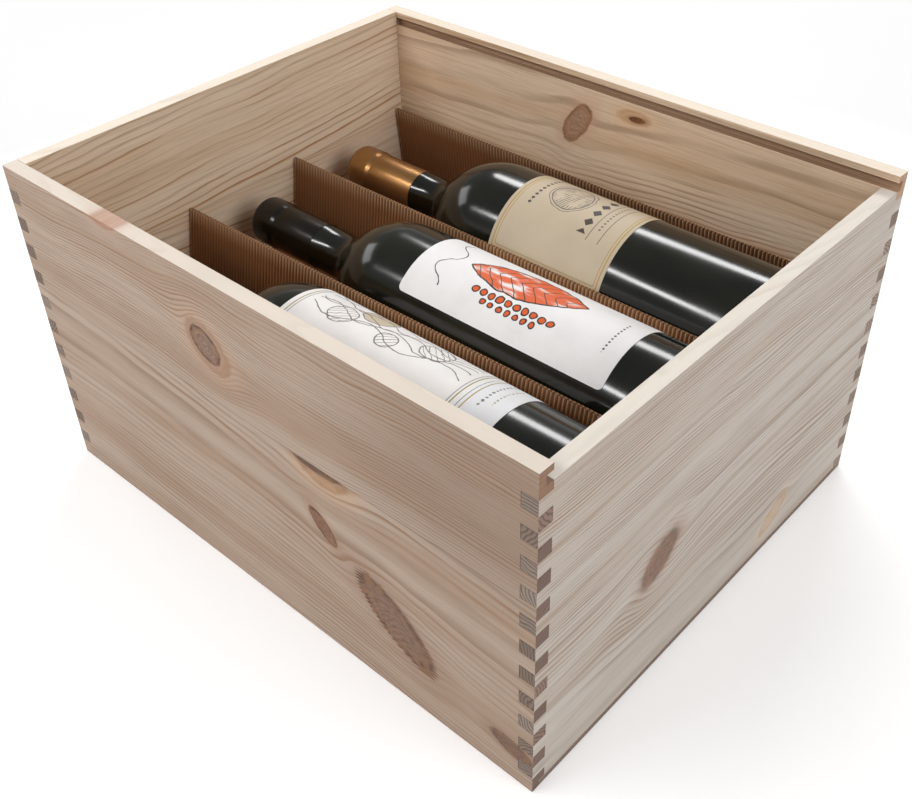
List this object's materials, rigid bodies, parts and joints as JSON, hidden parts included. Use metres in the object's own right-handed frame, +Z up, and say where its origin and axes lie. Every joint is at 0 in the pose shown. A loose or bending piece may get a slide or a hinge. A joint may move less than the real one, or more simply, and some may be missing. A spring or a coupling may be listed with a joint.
{
  "type": "wooden wine box",
  "caption": "Open finger-jointed pine wine box with grooves for a sliding lid, holding bottles laid flat between corrugated board dividers",
  "frame": {"origin": "centre of the box on its underside", "axes": "+X along the long side, towards the end where the lid slides out; +Y to the back; +Z up out of the open top"},
  "size_m": [0.36, 0.291, 0.199],
  "materials": {
    "pine": "planed, untreated pine with growth rings and knots, end grain on the joint fingers",
    "kraft_board": "brown kraft paper board, matt, single-faced corrugated",
    "dark_glass": "near-black olive bottle glass, filled",
    "black_foil": "satin black-olive capsule foil",
    "gold_foil": "satin gold capsule foil",
    "label_paper": "uncoated white label paper"
  },
  "bodies": {
    "root": {"front_wall": "pine", "back_wall": "pine", "left_end_wall": "pine", "right_end_wall": "pine", "bottom_panel": "pine", "layer_pad": "kraft_board", "divider_front": "kraft_board", "divider_middle": "kraft_board", "divider_rear": "kraft_board", "lower_divider_front": "kraft_board", "lower_divider_middle": "kraft_board", "lower_divider_rear": "kraft_board", "bottle_front": "dark_glass", "bottle_middle": "dark_glass", "bottle_rear": "dark_glass", "lower_bottle_front": "dark_glass", "lower_bottle_middle": "dark_glass", "lower_bottle_rear": "dark_glass", "capsule_front": "black_foil", "capsule_middle": "black_foil", "capsule_rear": "gold_foil", "lower_capsule_front": "black_foil", "lower_capsule_middle": "black_foil", "lower_capsule_rear": "black_foil", "label_front": "label_paper", "label_strip": "label_paper", "label_middle": "label_paper", "label_rear": "label_paper"}
  },
  "joints": []
}
